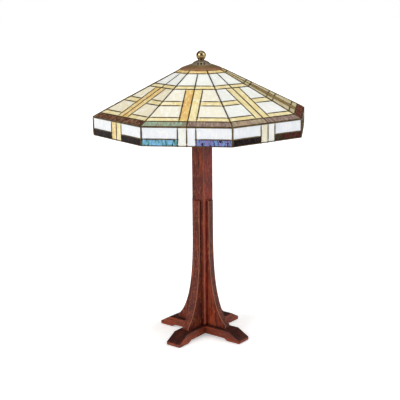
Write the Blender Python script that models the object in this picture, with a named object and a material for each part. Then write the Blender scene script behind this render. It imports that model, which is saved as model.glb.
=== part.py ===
"""Stained glass table lamp with an oak cross base.

Four curved corbels stand on two half-lapped foot beams around a square post. A threaded pipe runs up the
post to a two-light cluster, and a spindle on the cluster carries an octagonal leaded glass shade, held
by a ball knob. Metres, +Z up, origin on the table at the centre of the base. The foot beams lie along
X and Y, and the sockets along X.
"""

import math

import bmesh
import bpy
from mathutils import Matrix, Vector

MM = 0.001
GAP = 0.3 * MM  # between two pieces that touch on the real lamp
CUT_PAST = 2 * MM  # how far a cutter runs past the faces that it cuts
DEEP = 1000 * MM  # a cutter this long passes through anything here

# Foot beams
FOOT_REACH = 111.0 * MM
FOOT_WIDTH = 36.8 * MM
FOOT_TOP_Z = 24.1 * MM
FOOT_TIP_Z = 8.6 * MM
FOOT_FALL_START = FOOT_REACH - 27.8 * MM  # from the axis to where the top starts to fall
ARCH_Z = 6.2 * MM
PAD_START = FOOT_REACH - 33.7 * MM
ARCH_REACH = PAD_START - 7.8 * MM
FELT_THICKNESS = 1.2 * MM
FELT_RADIUS = 12.5 * MM
FOOT_BOTTOM_Z = FELT_THICKNESS + GAP
FELT_AT = (PAD_START + FOOT_REACH) / 2
LAP_Z = (ARCH_Z + FOOT_TOP_Z) / 2
WOOD_BEVEL = 0.9 * MM

# Post and corbels
POST_SIDE = 33.5 * MM
POST_TOP_Z = 470.0 * MM
RIM_Z = POST_TOP_Z - 6.8 * MM  # the shade's lower edge
POST_BEVEL = 2.0 * MM
PIPE_RADIUS = 5.1 * MM
POST_BORE_RADIUS = PIPE_RADIUS + 0.7 * MM
TENON_SIDE = 0.645 * POST_SIDE
CORBEL_THICKNESS = 16.0 * MM
CORBEL_TOP_Z = 310.6 * MM
CORBEL_STAND_OUT = 6.5 * MM  # past the post's face, at the top
CORBEL_CURVE_TOP_Z = 235.0 * MM
CORBEL_TOE_REACH = FOOT_FALL_START - 16.3 * MM  # from the axis
CORBEL_TOE_HEIGHT = 7.0 * MM
CORBEL_CURVE_STEPS = 18
CORBEL_INNER = POST_SIDE / 2 + GAP
CORBEL_OUTER = POST_SIDE / 2 + CORBEL_STAND_OUT

# Screws from below through each foot into its corbel
SCREW_AT = CORBEL_TOE_REACH - 18.5 * MM
SCREW_RADIUS = 2.0 * MM
SCREW_HEAD_RADIUS = 4.0 * MM
SCREW_HEAD_HEIGHT = 2.6 * MM
SCREW_HEAD_DEPTH = 4.6 * MM
SCREW_TOP_Z = FOOT_TOP_Z + 18.0 * MM

# Pipe and its hardware
PIPE_INNER_RADIUS = PIPE_RADIUS - 1.1 * MM
RECESS_ROOF = 2.15 * MM  # wood of the lower beam that is left over the washer
RECESS_TOP_Z = LAP_Z - RECESS_ROOF
WASHER_RADIUS = PIPE_RADIUS + 5.9 * MM
RECESS_RADIUS = WASHER_RADIUS + 2.5 * MM
WASHER_THICKNESS = 1.4 * MM
NUT_RADIUS = PIPE_RADIUS + 3.5 * MM  # to its corners
NUT_HEIGHT = 3.0 * MM
LOCKNUT_HEIGHT = 5.0 * MM
BUSHING_FLANGE_RADIUS = PIPE_RADIUS + 1.9 * MM
BUSHING_FLANGE = 1.2 * MM
BUSHING_BARREL = 6.0 * MM
BUSHING_BORE_RADIUS = PIPE_INNER_RADIUS - 1.1 * MM
PLATE_RADIUS = 0.94 * POST_SIDE / 2
PLATE_THICKNESS = 2.0 * MM

# Two-light cluster
SOCKET_AXIS_Z = POST_TOP_Z + 38.0 * MM
PIPE_TOP_Z = SOCKET_AXIS_Z - 10.0 * MM
CLUSTER_RADIUS = 15.0 * MM
CLUSTER_NECK_RADIUS = PIPE_RADIUS + 3.4 * MM
CLUSTER_HALF_HEIGHT = 17.0 * MM
CLUSTER_ARM_RADIUS = 7.0 * MM
CLUSTER_ARM_REACH = 21.0 * MM
SOCKET_START = CLUSTER_ARM_REACH + GAP
SOCKET_MOUTH_RADIUS = 13.6 * MM
SHELL_RADIUS = SOCKET_MOUTH_RADIUS + 2.8 * MM
SOCKET_CAP_RADIUS = SHELL_RADIUS + 1.2 * MM
SOCKET_CAP_LENGTH = 12.0 * MM
SHEET = 0.8 * MM  # brass sheet of socket caps and shells
SHELL_LENGTH = 38.0 * MM
SHELL_OVERLAP = 5.0 * MM  # how far the shell stands inside its cap
SWITCH_BLOCK = 14.0 * MM  # solid back of the socket interior, which holds the pull switch
SHELL_START = SOCKET_START + SOCKET_CAP_LENGTH - SHELL_OVERLAP
INTERIOR_START = SHELL_START + 1.0 * MM
INTERIOR_RADIUS = SHELL_RADIUS - SHEET - GAP
MOUTH_START = INTERIOR_START + SWITCH_BLOCK
SHELL_END = SHELL_START + SHELL_LENGTH

# Pull chains
CHAIN_AT = MOUTH_START - 5.0 * MM
CHAIN_RADIUS = 1.2 * MM
CHAIN_TOP_Z = SOCKET_AXIS_Z - 3.0 * MM
CHAIN_BALL_Z = RIM_Z - 21.2 * MM
CHAIN_BALL_RADIUS = 4.4 * MM
CHAIN_HOLE_RADIUS = CHAIN_RADIUS + 0.9 * MM
GUIDE_RADIUS = CHAIN_HOLE_RADIUS + 1.5 * MM
GUIDE_LENGTH = 8.0 * MM

# Light bulbs
BULB_RADIUS = 30.0 * MM
BULB_LENGTH = 108.0 * MM
BULB_BASE_RADIUS = SOCKET_MOUTH_RADIUS - 0.5 * MM
BULB_BASE_LENGTH = 24.0 * MM
BULB_NECK_RADIUS = BULB_BASE_RADIUS - 1.1 * MM
BULB_WALL = 1.0 * MM
BULB_NECK_IN_BASE = 6.0 * MM
BULB_SHOULDER_DEG = 125.0  # from the tip, where the round end meets the tapering neck

# Octagonal shade. Radii are to the corners, and the shade stands turned on its base.
SIDES = 8
SHADE_TURN_DEG = 29.4
RIM_RADIUS = 235.0 * MM
CAP_RADIUS = 45.8 * MM
SKIRT_HEIGHT = 40.3 * MM
SHOULDER_Z = RIM_Z + SKIRT_HEIGHT
CONE_TOP_RADIUS = CAP_RADIUS - 2.5 * MM
CONE_HEIGHT = 93.7 * MM
CAME_COVER = 1.2 * MM  # metal over each face of the glass
GLASS = 3.0 * MM
CAME_THICKNESS = GLASS + 2 * CAME_COVER
CAME_HEART = 1.8 * MM  # metal between the edges of two panes
RIDGE_WIDTH = 3.8 * MM
CORNER_WIDTH = 4.6 * MM
SHOULDER_WIDTH = 2.4 * MM  # each side of the bend
RIM_WIDTH = 2.6 * MM
TOP_WIDTH = 4.0 * MM
EDGE_HEART = 1.2 * MM  # metal past the pane at the rim and at the top

# Vented cap, which rests on a washer on the spindle
SPINDLE_RADIUS = 3.1 * MM
SEAT_WASHER_RADIUS = SPINDLE_RADIUS + 4.9 * MM
CAP_SHEET = 1.2 * MM
CAP_SEAT_DEPTH = 1.4 * MM  # how far the rim is let into the ridges
CAP_RIM_Z = (
    SHOULDER_Z - CAP_SEAT_DEPTH
    + CONE_HEIGHT * (RIM_RADIUS - CAP_RADIUS) / (RIM_RADIUS - CONE_TOP_RADIUS)
)
CAP_BEND_RADIUS = CAP_RADIUS - 6.3 * MM
CAP_BEND_RISE = 3.2 * MM
CAP_STEP_RADIUS = 22.0 * MM
CAP_STEP_RISE = 9.4 * MM
DOME_RADIUS = 19.6 * MM
DOME_MIDDLE_RADIUS = 15.6 * MM
DOME_MIDDLE_RISE = 14.8 * MM
CAP_TOP_RADIUS = SEAT_WASHER_RADIUS + 1.8 * MM
CAP_TOP_RISE = 17.6 * MM
CAP_HOLE_RADIUS = SPINDLE_RADIUS + 0.8 * MM
CAP_TOP_Z = CAP_RIM_Z + CAP_TOP_RISE
VENT_GROUPS = 4
VENTS_IN_GROUP = 3
VENT_RADIUS = 2.7 * MM  # across; the vents are ovals that run up the dome
VENT_STRETCH = 1.4  # their length over their width
VENT_STEP_DEG = 20.5
VENT_TURN_DEG = 8.0  # from the middle of a side of the shade to the middle of a group
VENT_LEAN_DEG = 37.0  # above the horizontal, square to the dome
VENT_AT = 18.4 * MM  # from the axis
VENT_RISE = 11.3 * MM

# Spindle, its seat and the ball knob
SPINDLE_FOOT_Z = SOCKET_AXIS_Z - 6.0 * MM
SEAT_WASHER_THICKNESS = 1.5 * MM
SEAT_NUT_RADIUS = SPINDLE_RADIUS + 3.2 * MM
SEAT_NUT_HEIGHT = 4.0 * MM
SEAT_WASHER_TOP_Z = CAP_TOP_Z - CAP_SHEET - GAP
SEAT_WASHER_Z = SEAT_WASHER_TOP_Z - SEAT_WASHER_THICKNESS
SEAT_NUT_Z = SEAT_WASHER_Z - GAP - SEAT_NUT_HEIGHT
KNOB_RADIUS = 10.5 * MM
KNOB_COLLAR_RADIUS = SPINDLE_RADIUS + 3.1 * MM
KNOB_COLLAR_HEIGHT = 1.6 * MM
KNOB_Z = CAP_TOP_Z + GAP
KNOB_BORE_DEPTH = 6.6 * MM
SPINDLE_TOP_Z = KNOB_Z + KNOB_BORE_DEPTH - GAP

ROUND = 24  # sides of a small round piece
FINE_ROUND = 56  # sides of a large one

HALF_SIDE = math.pi / SIDES
RIM_APOTHEM = RIM_RADIUS * math.cos(HALF_SIDE)
CONE_RUN = (RIM_RADIUS - CONE_TOP_RADIUS) * math.cos(HALF_SIDE)
CONE_PITCH = math.atan2(CONE_HEIGHT, CONE_RUN)
CONE_SLANT = math.hypot(CONE_RUN, CONE_HEIGHT)
RIDGE_SPLAY = math.atan(math.cos(CONE_PITCH) * math.tan(HALF_SIDE))
SHOULDER_LEAN = math.tan((math.pi / 2 - CONE_PITCH) / 2)


def clear_scene():
    for obj in list(bpy.data.objects):
        bpy.data.objects.remove(obj)


def make_material(name, colour, roughness, metallic=0.0):
    material = bpy.data.materials.new(name)
    material.use_nodes = True
    shader = material.node_tree.nodes["Principled BSDF"]
    shader.inputs["Base Color"].default_value = (*colour, 1.0)
    shader.inputs["Roughness"].default_value = roughness
    shader.inputs["Metallic"].default_value = metallic
    return material


def add_object(name, mesh, material=None, parent=None):
    """An object for this mesh, or a hidden cutter if it has no material."""
    obj = bpy.data.objects.new(name, mesh)
    bpy.context.scene.collection.objects.link(obj)
    obj.parent = parent
    if material is None:
        obj.hide_render = True
        obj.display_type = "WIRE"
    else:
        obj.data.materials.clear()
        obj.data.materials.append(material)
    return obj


def add_empty(name, location=(0, 0, 0), rotation=(0, 0, 0), parent=None):
    empty = bpy.data.objects.new(name, None)
    bpy.context.scene.collection.objects.link(empty)
    empty.location = location
    empty.rotation_euler = rotation
    empty.parent = parent
    return empty


def finish_mesh(name, shape):
    bmesh.ops.recalc_face_normals(shape, faces=shape.faces)
    mesh = bpy.data.meshes.new(name)
    shape.to_mesh(mesh)
    shape.free()
    return mesh


def cut(obj, cutter, operation="DIFFERENCE"):
    modifier = obj.modifiers.new(cutter.name, "BOOLEAN")
    modifier.operation = operation
    modifier.object = cutter


def bevel(obj, width, segments=1):
    modifier = obj.modifiers.new("edges", "BEVEL")
    modifier.width = width
    modifier.segments = segments
    modifier.limit_method = "ANGLE"
    modifier.angle_limit = math.radians(30)


def turned(name, profile, sides=ROUND):
    """A closed profile of (radius, height) points, spun about the Z axis."""
    shape = bmesh.new()
    points = [shape.verts.new((radius, 0, height)) for radius, height in profile]
    edges = [shape.edges.new((a, b)) for a, b in zip(points, points[1:] + points[:1])]
    bmesh.ops.spin(
        shape, geom=points + edges, axis=(0, 0, 1), cent=(0, 0, 0),
        angle=2 * math.pi, steps=sides, use_merge=True,
    )
    bmesh.ops.remove_doubles(shape, verts=shape.verts, dist=0.001 * MM)
    loose = [edge for edge in shape.edges if not edge.link_faces]
    bmesh.ops.delete(shape, geom=loose, context="EDGES")
    mesh = finish_mesh(name, shape)
    mesh.shade_smooth()
    mesh.set_sharp_from_angle(angle=math.radians(35))
    return mesh


def tube(name, outer, inner, low, high, sides=ROUND):
    return turned(name, [(inner, low), (outer, low), (outer, high), (inner, high)], sides)


def rod(name, radius, low, high, sides=ROUND):
    return turned(name, [(0, low), (radius, low), (radius, high), (0, high)], sides)


def prism(name, outline, depth):
    """An outline in the XZ plane, extruded to depth along Y and centred on it."""
    shape = bmesh.new()
    face = shape.faces.new([shape.verts.new((x, -depth / 2, z)) for x, z in outline])
    made = bmesh.ops.extrude_face_region(shape, geom=[face])
    moved = [item for item in made["geom"] if isinstance(item, bmesh.types.BMVert)]
    bmesh.ops.translate(shape, verts=moved, vec=(0, depth, 0))
    return finish_mesh(name, shape)


def box(name, low, high):
    shape = bmesh.new()
    bmesh.ops.create_cube(shape, size=1)
    size = Vector(high) - Vector(low)
    middle = (Vector(high) + Vector(low)) / 2
    bmesh.ops.transform(
        shape, matrix=Matrix.Translation(middle) @ Matrix.Diagonal((*size, 1)), verts=shape.verts
    )
    return finish_mesh(name, shape)


def hex_nut(name, corner_radius, bore_radius, low, high, material, parent=None):
    nut = add_object(name, rod(name, corner_radius, low, high, sides=6), material, parent)
    nut.data.shade_flat()
    bore = rod(name + "_bore", bore_radius, low - CUT_PAST, high + CUT_PAST)
    cut(nut, add_object(name + "_bore", bore, parent=parent))
    return nut


# Base


def foot_outline():
    half = [
        (PAD_START, FOOT_BOTTOM_Z), (FOOT_REACH, FOOT_BOTTOM_Z), (FOOT_REACH, FOOT_TIP_Z),
        (FOOT_FALL_START, FOOT_TOP_Z),
    ]
    mirrored = [(-x, z) for x, z in reversed(half)]
    return [(ARCH_REACH, ARCH_Z), *half, *mirrored, (-ARCH_REACH, ARCH_Z)]


def screw_hole_cutter(name, empty):
    """Head recess and clearance hole of one foot screw, standing on the screw's own axis."""
    wide = SCREW_HEAD_RADIUS + 2 * GAP
    narrow = SCREW_RADIUS + GAP
    recess_top = ARCH_Z + SCREW_HEAD_DEPTH
    profile = [
        (0, -CUT_PAST), (wide, -CUT_PAST), (wide, recess_top), (narrow, recess_top),
        (narrow, SCREW_TOP_Z + GAP), (0, SCREW_TOP_Z + GAP),
    ]
    return add_object(name, turned(name, profile, sides=12), parent=empty)


def make_foot_beams(oak, screw_holes):
    width = FOOT_WIDTH / 2 + GAP
    outline = foot_outline()
    lower = add_object("foot_beam_lower", prism("foot_beam_lower", outline, FOOT_WIDTH), oak)
    upper = add_object("foot_beam_upper", prism("foot_beam_upper", outline, FOOT_WIDTH), oak)
    upper.rotation_euler.z = math.pi / 2
    for beam in (lower, upper):
        bevel(beam, WOOD_BEVEL)

    notch_over = box("lap_over", (-width, -width, LAP_Z - GAP / 2), (width, width, FOOT_TOP_Z + CUT_PAST))
    cut(lower, add_object("lap_over", notch_over))
    notch_under = box("lap_under", (-width, -width, -CUT_PAST), (width, width, LAP_Z + GAP / 2))
    cut(upper, add_object("lap_under", notch_under, parent=upper))

    mortise = TENON_SIDE / 2 + GAP
    mortise_box = box("mortise", (-mortise, -mortise, 0), (mortise, mortise, FOOT_TOP_Z + CUT_PAST))
    cut(upper, add_object("mortise", mortise_box, parent=upper))
    pipe_way = turned("pipe_way", [
        (0, -CUT_PAST), (RECESS_RADIUS, -CUT_PAST), (RECESS_RADIUS, RECESS_TOP_Z),
        (POST_BORE_RADIUS, RECESS_TOP_Z), (POST_BORE_RADIUS, LAP_Z + CUT_PAST), (0, LAP_Z + CUT_PAST),
    ])
    cut(lower, add_object("pipe_way", pipe_way))
    for index, hole in enumerate(screw_holes):
        cut(lower if index % 2 == 0 else upper, hole)


def make_post(oak):
    half = POST_SIDE / 2
    tenon = TENON_SIDE / 2
    low = FOOT_TOP_Z + GAP
    post = add_object("centre_post", box("centre_post", (-half, -half, low), (half, half, POST_TOP_Z)), oak)
    bevel(post, POST_BEVEL)
    tenon_box = box("tenon", (-tenon, -tenon, LAP_Z + 2 * GAP), (tenon, tenon, low + CUT_PAST))
    cut(post, add_object("tenon", tenon_box), "UNION")
    cut(post, add_object("post_bore", rod("post_bore", POST_BORE_RADIUS, 0, DEEP)))


def corbel_curve():
    """Reach from the axis and height along the outer curve: a Bezier that leaves the upright face
    without a corner and sweeps out to the toe."""
    foot = FOOT_TOP_Z + GAP + CORBEL_TOE_HEIGHT
    sweep = CORBEL_TOE_REACH - CORBEL_OUTER
    drop = CORBEL_CURVE_TOP_Z - foot
    ends = (
        Vector((CORBEL_OUTER, CORBEL_CURVE_TOP_Z)), Vector((CORBEL_OUTER, CORBEL_CURVE_TOP_Z - 0.51 * drop)),
        Vector((CORBEL_OUTER + 0.24 * sweep, foot + 0.15 * drop)), Vector((CORBEL_TOE_REACH, foot)),
    )
    points = []
    for step in range(CORBEL_CURVE_STEPS + 1):
        t = step / CORBEL_CURVE_STEPS
        weights = ((1 - t) ** 3, 3 * t * (1 - t) ** 2, 3 * t * t * (1 - t), t ** 3)
        points.append(tuple(sum((w * p for w, p in zip(weights, ends)), Vector((0, 0)))))
    return points


def make_corbels(oak, screw_holes):
    foot = FOOT_TOP_Z + GAP
    outline = [
        (CORBEL_INNER, CORBEL_TOP_Z), (CORBEL_OUTER, CORBEL_TOP_Z), *corbel_curve(),
        (CORBEL_TOE_REACH, foot), (CORBEL_INNER, foot),
    ]
    mesh = prism("corbel", outline, CORBEL_THICKNESS)
    for index, hole in enumerate(screw_holes):
        corbel = add_object(f"corbel_{index + 1}", mesh.copy(), oak)
        corbel.rotation_euler.z = index * math.pi / 2
        bevel(corbel, WOOD_BEVEL)
        cut(corbel, hole)


def make_foot_hardware(steel, felt):
    """A felt disc and a corbel screw for each foot. The felt lies on the table."""
    head_low = ARCH_Z + SCREW_HEAD_DEPTH - GAP - SCREW_HEAD_HEIGHT
    head_high = head_low + SCREW_HEAD_HEIGHT
    screw = turned("corbel_screw", [
        (0, head_low), (SCREW_HEAD_RADIUS, head_low), (SCREW_HEAD_RADIUS, head_high),
        (SCREW_RADIUS, head_high), (SCREW_RADIUS, SCREW_TOP_Z - SCREW_RADIUS), (0, SCREW_TOP_Z),
    ], sides=12)
    felt_disc = rod("felt_disc", FELT_RADIUS, 0, FELT_THICKNESS)
    holes = []
    for index in range(4):
        turn = index * math.pi / 2
        outward = Vector((math.cos(turn), math.sin(turn), 0))
        axis = add_empty(f"foot_axis_{index + 1}", outward * SCREW_AT)
        holes.append(screw_hole_cutter(f"screw_hole_{index + 1}", axis))
        add_object(f"corbel_screw_{index + 1}", screw.copy(), steel, axis)
        disc = add_object(f"felt_disc_{index + 1}", felt_disc.copy(), felt)
        disc.location = outward * FELT_AT
    return holes


# Pipe and cluster


def make_pipe(steel, brass, black):
    under = RECESS_TOP_Z - GAP
    washer_low = under - WASHER_THICKNESS
    nut_high = washer_low - GAP
    pipe_low = nut_high - NUT_HEIGHT - GAP
    bore = PIPE_RADIUS + GAP
    add_object("lamp_pipe", tube("lamp_pipe", PIPE_RADIUS, PIPE_INNER_RADIUS, pipe_low, PIPE_TOP_Z), steel)
    add_object("base_washer", tube("base_washer", WASHER_RADIUS, bore, washer_low, under), steel)
    hex_nut("base_nut", NUT_RADIUS, bore, nut_high - NUT_HEIGHT, nut_high, steel)

    flange_high = pipe_low - GAP
    flange_low = flange_high - BUSHING_FLANGE
    barrel = PIPE_INNER_RADIUS - GAP
    bushing = turned("cord_bushing", [
        (BUSHING_BORE_RADIUS, flange_low), (BUSHING_FLANGE_RADIUS, flange_low),
        (BUSHING_FLANGE_RADIUS, flange_high), (barrel, flange_high),
        (barrel, flange_high + BUSHING_BARREL), (BUSHING_BORE_RADIUS, flange_high + BUSHING_BARREL),
    ])
    add_object("cord_bushing", bushing, black)

    plate_low = POST_TOP_Z + GAP
    plate_high = plate_low + PLATE_THICKNESS
    add_object("post_plate", tube("post_plate", PLATE_RADIUS, bore, plate_low, plate_high), brass)
    hex_nut("pipe_locknut", NUT_RADIUS, bore, plate_high + GAP, plate_high + GAP + LOCKNUT_HEIGHT, brass)


def make_cluster(brass):
    low = SOCKET_AXIS_Z - CLUSTER_HALF_HEIGHT
    high = SOCKET_AXIS_Z + CLUSTER_HALF_HEIGHT
    neck, belly = 4 * MM, 8 * MM  # heights of the neck and of the slope below it
    body = turned("cluster_body", [
        (0, low), (CLUSTER_NECK_RADIUS, low), (CLUSTER_NECK_RADIUS, low + neck),
        (CLUSTER_RADIUS, low + belly), (CLUSTER_RADIUS, high - belly),
        (CLUSTER_NECK_RADIUS, high - neck), (CLUSTER_NECK_RADIUS, high), (0, high),
    ])
    cluster = add_object("cluster_body", body, brass)
    arms = rod("cluster_arms", CLUSTER_ARM_RADIUS, -CLUSTER_ARM_REACH, CLUSTER_ARM_REACH)
    arms_object = add_object("cluster_arms", arms)
    arms_object.location.z = SOCKET_AXIS_Z
    arms_object.rotation_euler.y = math.pi / 2
    cut(cluster, arms_object, "UNION")
    shelf = PIPE_TOP_Z + GAP
    bores = turned("cluster_bores", [
        (0, low - CUT_PAST), (PIPE_RADIUS + GAP, low - CUT_PAST), (PIPE_RADIUS + GAP, shelf),
        (SPINDLE_RADIUS + GAP, shelf), (SPINDLE_RADIUS + GAP, high + CUT_PAST), (0, high + CUT_PAST),
    ])
    cut(cluster, add_object("cluster_bores", bores))


def socket_cap_mesh():
    start = SOCKET_START
    end = start + SOCKET_CAP_LENGTH
    waist = start + 6 * MM
    return turned("socket_cap", [
        (0, start), (CLUSTER_ARM_RADIUS + 1 * MM, start), (SOCKET_CAP_RADIUS, waist),
        (SOCKET_CAP_RADIUS, end), (SOCKET_CAP_RADIUS - SHEET, end),
        (SOCKET_CAP_RADIUS - SHEET, waist + SHEET), (0, waist + SHEET / 2),
    ])


def bulb_glass_mesh(base_end):
    """An open-necked glass envelope: a round end that tapers to a straight neck."""
    tip = MOUTH_START + GAP + BULB_LENGTH
    centre = tip - BULB_RADIUS
    shoulder = math.radians(BULB_SHOULDER_DEG)
    neck_end = base_end + 8 * MM

    def side(inset):
        radius = BULB_RADIUS - inset
        steps = 9
        arc = [(radius * math.sin(shoulder * i / steps), centre + radius * math.cos(shoulder * i / steps))
               for i in range(steps + 1)]
        neck = BULB_NECK_RADIUS - inset
        return [*arc, (neck, neck_end), (neck, base_end - BULB_NECK_IN_BASE)]

    return turned("bulb_glass", [*side(0), *reversed(side(BULB_WALL))])


def bulb_base_mesh(base_start, base_end):
    contact, shoulder = 4 * MM, 5 * MM
    cup = BULB_NECK_RADIUS + GAP
    floor = base_end - BULB_NECK_IN_BASE - 2 * MM
    return turned("bulb_base", [
        (0, base_start), (contact, base_start), (BULB_BASE_RADIUS, base_start + shoulder),
        (BULB_BASE_RADIUS, base_end), (cup, base_end), (cup, floor), (0, floor),
    ])


def make_sockets(brass, black, glass, tin):
    base_start = MOUTH_START + GAP
    base_end = base_start + BULB_BASE_LENGTH
    interior = turned("socket_interior", [
        (0, INTERIOR_START), (INTERIOR_RADIUS, INTERIOR_START), (INTERIOR_RADIUS, SHELL_END),
        (SOCKET_MOUTH_RADIUS, SHELL_END), (SOCKET_MOUTH_RADIUS, MOUTH_START), (0, MOUTH_START),
    ])
    shell = tube("socket_shell", SHELL_RADIUS, SHELL_RADIUS - SHEET, SHELL_START, SHELL_END)
    guide_top = SOCKET_AXIS_Z - SHELL_RADIUS - GAP
    guide_low = guide_top - GUIDE_LENGTH
    guide = tube("chain_guide", GUIDE_RADIUS, CHAIN_HOLE_RADIUS, guide_low, guide_top, sides=16)
    for number, side in ((1, 1), (2, -1)):
        axis = add_empty(f"socket_axis_{number}", (0, 0, SOCKET_AXIS_Z), (0, side * math.pi / 2, 0))
        chain_axis = add_empty(f"chain_axis_{number}", (side * CHAIN_AT, 0, 0))
        bore = rod("chain_bore", CHAIN_HOLE_RADIUS, guide_low, CHAIN_TOP_Z + CUT_PAST, sides=16)
        chain_bore = add_object(f"chain_bore_{number}", bore, parent=chain_axis)
        add_object(f"socket_cap_{number}", socket_cap_mesh(), brass, axis)
        for name, mesh, material in (("socket_shell", shell, brass), ("socket_interior", interior, black)):
            piece = add_object(f"{name}_{number}", mesh.copy(), material, axis)
            cut(piece, chain_bore)
        add_object(f"chain_guide_{number}", guide.copy(), brass, chain_axis)
        add_object(f"bulb_base_{number}", bulb_base_mesh(base_start, base_end), tin, axis)
        add_object(f"bulb_glass_{number}", bulb_glass_mesh(base_end), glass, axis)
        make_pull_chain(f"pull_chain_{number}", brass, chain_axis)


def make_pull_chain(name, brass, chain_axis):
    steps = 8
    start = math.asin(CHAIN_RADIUS / CHAIN_BALL_RADIUS)
    ball = []
    for step in range(steps + 1):
        angle = start + (math.pi - start) * step / steps
        ball.append((CHAIN_BALL_RADIUS * math.sin(angle), CHAIN_BALL_Z + CHAIN_BALL_RADIUS * math.cos(angle)))
    profile = [(0, CHAIN_TOP_Z), (CHAIN_RADIUS, CHAIN_TOP_Z), *ball[:-1], (0, ball[-1][1])]
    add_object(name, turned(name, profile, sides=12), brass, chain_axis)


# Shade


def facet_point(facet, part, across, along, depth):
    """A point of one side of the shade. Across is from the side's middle line, along runs from the
    shoulder up the cone or down the skirt, and depth is inwards from the outer face."""
    if part == "cone":
        apothem = RIM_APOTHEM - along * math.cos(CONE_PITCH) - depth * math.sin(CONE_PITCH)
        height = SHOULDER_Z + along * math.sin(CONE_PITCH) - depth * math.cos(CONE_PITCH)
    else:
        apothem = RIM_APOTHEM - depth
        height = SHOULDER_Z - along
    turn = facet * 2 * HALF_SIDE
    outward = Vector((math.sin(turn), -math.cos(turn), 0))
    sideways = Vector((math.cos(turn), math.sin(turn), 0))
    return outward * apothem + sideways * across + Vector((0, 0, height)), apothem


def add_slab(shape, facet, part, start, end, outer, inner, inset):
    """A flat plate on one side of the shade, between two depths. Its shoulder end is mitred, and its long
    edges keep the distance inset from the corners of the octagon."""
    splay = RIDGE_SPLAY if part == "cone" else 0
    corners = []
    for depth in (outer, inner):
        for along in (start + SHOULDER_LEAN * depth, end):
            apothem = facet_point(facet, part, 0, along, depth)[1]
            half = apothem * math.tan(HALF_SIDE) - inset / math.cos(splay)
            corners += [facet_point(facet, part, side * half, along, depth)[0] for side in (-1, 1)]
    verts = [shape.verts.new(corner) for corner in corners]
    for ring in ((0, 1, 3, 2), (4, 6, 7, 5), (0, 2, 6, 4), (1, 5, 7, 3), (0, 4, 5, 1), (2, 3, 7, 6)):
        shape.faces.new([verts[i] for i in ring])


PARTS = (("cone", CONE_SLANT, RIDGE_WIDTH, TOP_WIDTH), ("skirt", SKIRT_HEIGHT, CORNER_WIDTH, RIM_WIDTH))


def pane_mesh(facet, part, length, grow=0.0):
    """The glass of one side, or with grow the groove that it stands in."""
    shape = bmesh.new()
    add_slab(
        shape, facet, part, CAME_HEART / 2 - grow, length - EDGE_HEART + grow,
        CAME_COVER - grow, CAME_COVER + GLASS + grow, CAME_HEART / 2 + GAP - grow,
    )
    return finish_mesh("pane", shape)


def octagon_shell_mesh(part):
    """The wall of the cone or of the skirt as one octagonal shell, as thick as the came."""
    thick = CAME_THICKNESS
    drop = thick / math.cos(CONE_PITCH)
    inner = RIM_APOTHEM - thick
    inner_shoulder_z = SHOULDER_Z + thick * math.tan(CONE_PITCH) - drop
    if part == "cone":
        top = RIM_APOTHEM - CONE_RUN
        profile = [
            (RIM_APOTHEM, SHOULDER_Z), (top, SHOULDER_Z + CONE_HEIGHT),
            (top, SHOULDER_Z + CONE_HEIGHT - drop), (inner, inner_shoulder_z),
        ]
    else:
        profile = [
            (RIM_APOTHEM, RIM_Z), (RIM_APOTHEM, SHOULDER_Z - GAP), (inner, inner_shoulder_z - GAP),
            (inner, RIM_Z),
        ]
    corner_profile = [(apothem / math.cos(HALF_SIDE), height) for apothem, height in profile]
    mesh = turned(part + "_leading", corner_profile, sides=SIDES)
    mesh.transform(Matrix.Rotation(HALF_SIDE - math.pi / 2, 4, "Z"))
    mesh.shade_flat()
    return mesh


def cap_underside():
    """Radius and height along the cap's lower face, from the rim to the middle."""
    return [
        (CAP_RADIUS, CAP_RIM_Z), (CAP_BEND_RADIUS, CAP_RIM_Z + CAP_BEND_RISE),
        (CAP_STEP_RADIUS, CAP_RIM_Z + CAP_STEP_RISE), (DOME_RADIUS, CAP_RIM_Z + CAP_STEP_RISE),
        (DOME_MIDDLE_RADIUS, CAP_RIM_Z + DOME_MIDDLE_RISE - CAP_SHEET),
        (CAP_TOP_RADIUS, CAP_TOP_Z - CAP_SHEET), (CAP_HOLE_RADIUS, CAP_TOP_Z - CAP_SHEET),
    ]


def make_leading(part, length, side_width, end_width, lead, shade_axis):
    """The metal of the cone or of the skirt: a shell with a window and a groove for each pane."""
    frame = add_object(part + "_leading", octagon_shell_mesh(part), lead, shade_axis)
    windows = bmesh.new()
    grooves = bmesh.new()
    for facet in range(SIDES):
        add_slab(
            windows, facet, part, SHOULDER_WIDTH, length - end_width,
            -CUT_PAST, CAME_THICKNESS + CUT_PAST, side_width / 2,
        )
        grooves.from_mesh(pane_mesh(facet, part, length, grow=GAP))
    for name, shape in ((part + "_windows", windows), (part + "_grooves", grooves)):
        cut(frame, add_object(name, finish_mesh(name, shape), parent=shade_axis))
    return frame


def make_shade(lead, glass, bronze, shade_axis):
    seat = [(radius + GAP, height - GAP) for radius, height in cap_underside()[:3]]
    over = CAP_RIM_Z + CAP_TOP_RISE
    seat_profile = [(0, over), (CAP_RADIUS + GAP, over), *seat, (0, seat[-1][1])]
    cap_seat = add_object("cap_seat", turned("cap_seat", seat_profile, FINE_ROUND), parent=shade_axis)
    for part, length, side_width, end_width in PARTS:
        frame = make_leading(part, length, side_width, end_width, lead, shade_axis)
        if part == "cone":
            cut(frame, cap_seat)
        for facet in range(SIDES):
            name = f"{part}_pane_{facet + 1}"
            pane = add_object(name, pane_mesh(facet, part, length), glass, shade_axis)
            if part == "cone":
                cut(pane, cap_seat)
    make_cap(bronze, shade_axis)


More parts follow.
